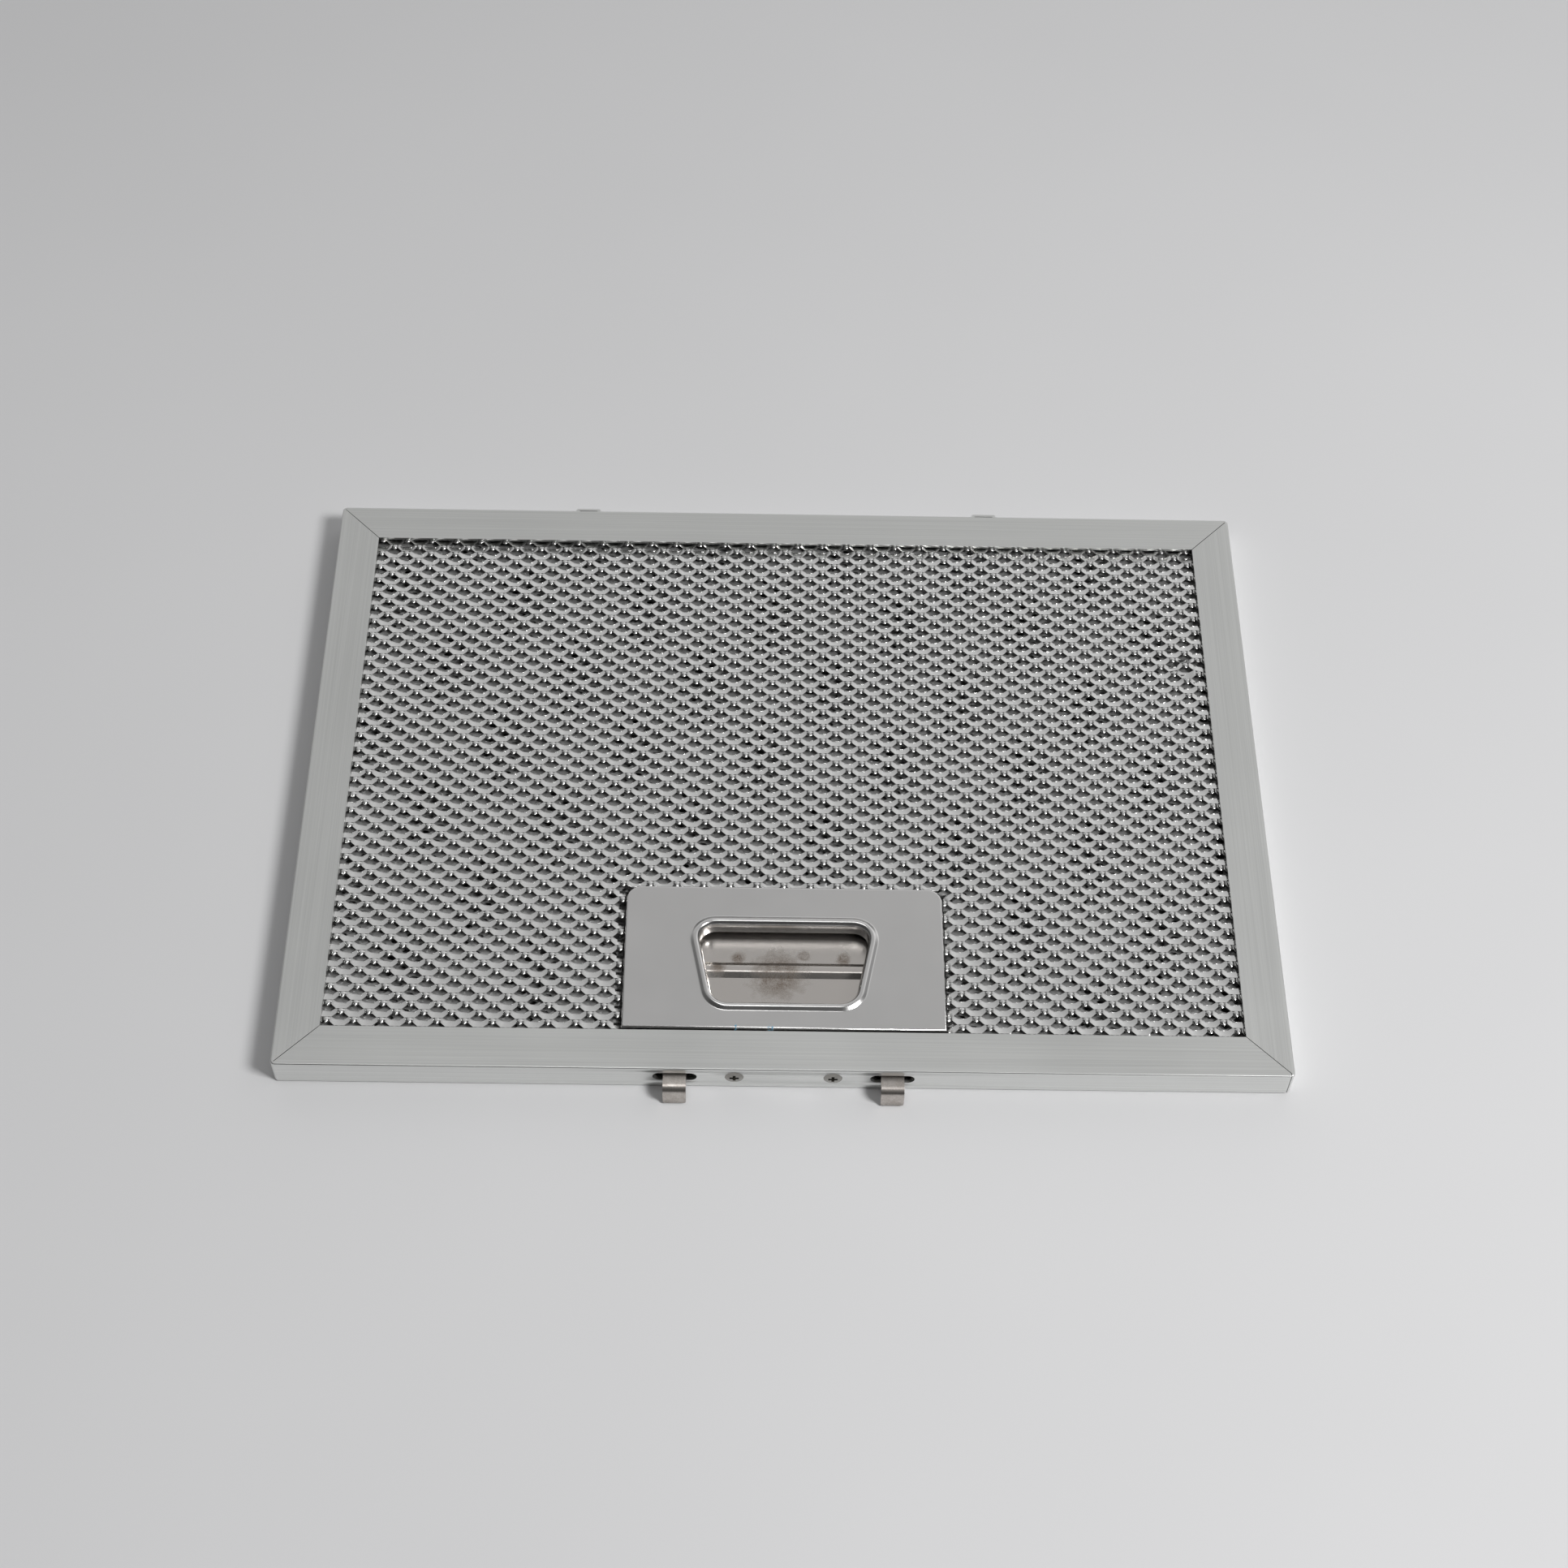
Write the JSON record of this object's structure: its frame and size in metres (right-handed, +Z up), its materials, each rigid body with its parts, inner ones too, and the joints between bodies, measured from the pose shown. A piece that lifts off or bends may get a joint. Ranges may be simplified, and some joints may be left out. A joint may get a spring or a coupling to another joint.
{
  "type": "cooker hood grease filter",
  "caption": "Flat aluminium grease filter: a folded channel frame around expanded mesh and foil layers, with a sprung finger latch at the front and lanced lugs at the rear.",
  "frame": {"origin": "on the resting plane, in the middle of the footprint with its tongues and lugs", "axes": "+X along the frame, +Y from the latch edge to the lug edge, +Z up out of the face with the handle"},
  "size_m": [0.3, 0.224, 0.011],
  "materials": {
    "frame_aluminium": "satin extruded",
    "key_aluminium": "mill",
    "mesh_aluminium": "bright rolled",
    "foil_aluminium": "bright foil",
    "cover_steel": "satin",
    "tray_steel": "bright rolled",
    "slider_steel": "polished, stained",
    "spring_steel": "drawn",
    "screw_steel": "nickel plated"
  },
  "bodies": {
    "filter": {"frame": "frame_aluminium", "corner_key": "key_aluminium", "rear_mesh": "mesh_aluminium", "foil_layer_1": "foil_aluminium", "foil_layer_2": "foil_aluminium", "foil_layer_3": "foil_aluminium", "foil_layer_4": "foil_aluminium", "front_mesh": "mesh_aluminium", "handle_cover": "cover_steel", "latch_tray": "tray_steel", "left_spring": "spring_steel", "right_spring": "spring_steel", "handle_screws": "screw_steel"},
    "latch": {"latch_slider": "slider_steel"}
  },
  "joints": [
    {"name": "latch_slide", "type": "slide", "parent": "filter", "child": "latch", "axis": [0, 1, 0], "range_m": [0, 0.0045], "stiffness_N_per_m": 500, "springref_m": -0.006, "deforming": ["left_spring", "right_spring"]}
  ]
}
